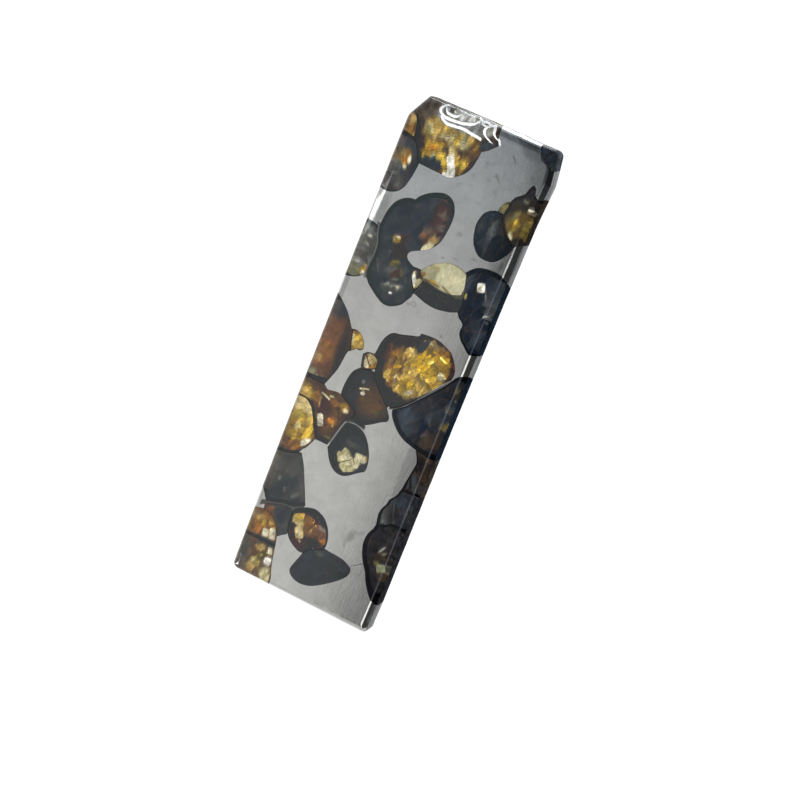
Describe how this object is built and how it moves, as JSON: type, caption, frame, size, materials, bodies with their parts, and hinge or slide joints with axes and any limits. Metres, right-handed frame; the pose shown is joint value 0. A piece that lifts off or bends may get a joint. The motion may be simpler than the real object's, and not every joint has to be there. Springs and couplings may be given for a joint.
{
  "type": "pallasite meteorite slice",
  "caption": "Thin polished bar cut from a stony-iron meteorite: an iron-nickel matrix set with see-through olivine crystals in golden, amber, cream and dark tones.",
  "frame": {"origin": "on the back face, under the middle of the bar", "axes": "+Z out of the polished face, +Y along the bar towards the end with the clipped corner, +X across the bar"},
  "size_m": [0.012, 0.0392, 0.002],
  "materials": {
    "metal_matrix": "polished",
    "crystal_centre_golden": "polished",
    "crystal_top_golden": "polished",
    "crystal_pale_yellow": "polished",
    "crystal_large_dark": "polished",
    "crystal_right_golden": "polished",
    "crystal_oval_dark": "polished",
    "crystal_round_cream": "polished",
    "crystal_lower_round_amber": "polished",
    "crystal_left_golden": "polished",
    "crystal_left_orange": "polished",
    "crystal_left_red_brown": "polished",
    "crystal_small_golden": "polished",
    "crystal_small_pale": "polished",
    "crystal_centre_dark_brown": "polished",
    "crystal_right_upper_dark": "polished",
    "crystal_right_middle_dark": "polished",
    "crystal_right_brown": "polished",
    "crystal_right_blue_black": "polished",
    "crystal_lower_right_black": "polished",
    "crystal_left_clear_grey": "polished",
    "crystal_left_upper_amber": "polished",
    "crystal_top_left_amber": "polished",
    "crystal_small_cream": "polished",
    "crystal_small_olive": "polished",
    "crystal_top_right_dark": "polished",
    "crystal_lower_left_amber": "polished",
    "crystal_bottom_left_amber": "polished",
    "crystal_left_slate": "polished",
    "crystal_lower_blue_grey": "polished",
    "crystal_bottom_dark": "polished"
  },
  "bodies": {
    "root": {"metal_matrix": "metal_matrix", "crystal_centre_golden": "crystal_centre_golden", "crystal_top_golden": "crystal_top_golden", "crystal_pale_yellow": "crystal_pale_yellow", "crystal_large_dark": "crystal_large_dark", "crystal_right_golden": "crystal_right_golden", "crystal_oval_dark": "crystal_oval_dark", "crystal_round_cream": "crystal_round_cream", "crystal_lower_round_amber": "crystal_lower_round_amber", "crystal_left_golden": "crystal_left_golden", "crystal_left_orange": "crystal_left_orange", "crystal_left_red_brown": "crystal_left_red_brown", "crystal_small_golden": "crystal_small_golden", "crystal_small_pale": "crystal_small_pale", "crystal_centre_dark_brown": "crystal_centre_dark_brown", "crystal_right_upper_dark": "crystal_right_upper_dark", "crystal_right_middle_dark": "crystal_right_middle_dark", "crystal_right_brown": "crystal_right_brown", "crystal_right_blue_black": "crystal_right_blue_black", "crystal_lower_right_black": "crystal_lower_right_black", "crystal_left_clear_grey": "crystal_left_clear_grey", "crystal_left_upper_amber": "crystal_left_upper_amber", "crystal_top_left_amber": "crystal_top_left_amber", "crystal_small_cream": "crystal_small_cream", "crystal_small_olive": "crystal_small_olive", "crystal_top_right_dark": "crystal_top_right_dark", "crystal_lower_left_amber": "crystal_lower_left_amber", "crystal_bottom_left_amber": "crystal_bottom_left_amber", "crystal_left_slate": "crystal_left_slate", "crystal_lower_blue_grey": "crystal_lower_blue_grey", "crystal_bottom_dark": "crystal_bottom_dark"}
  },
  "joints": []
}
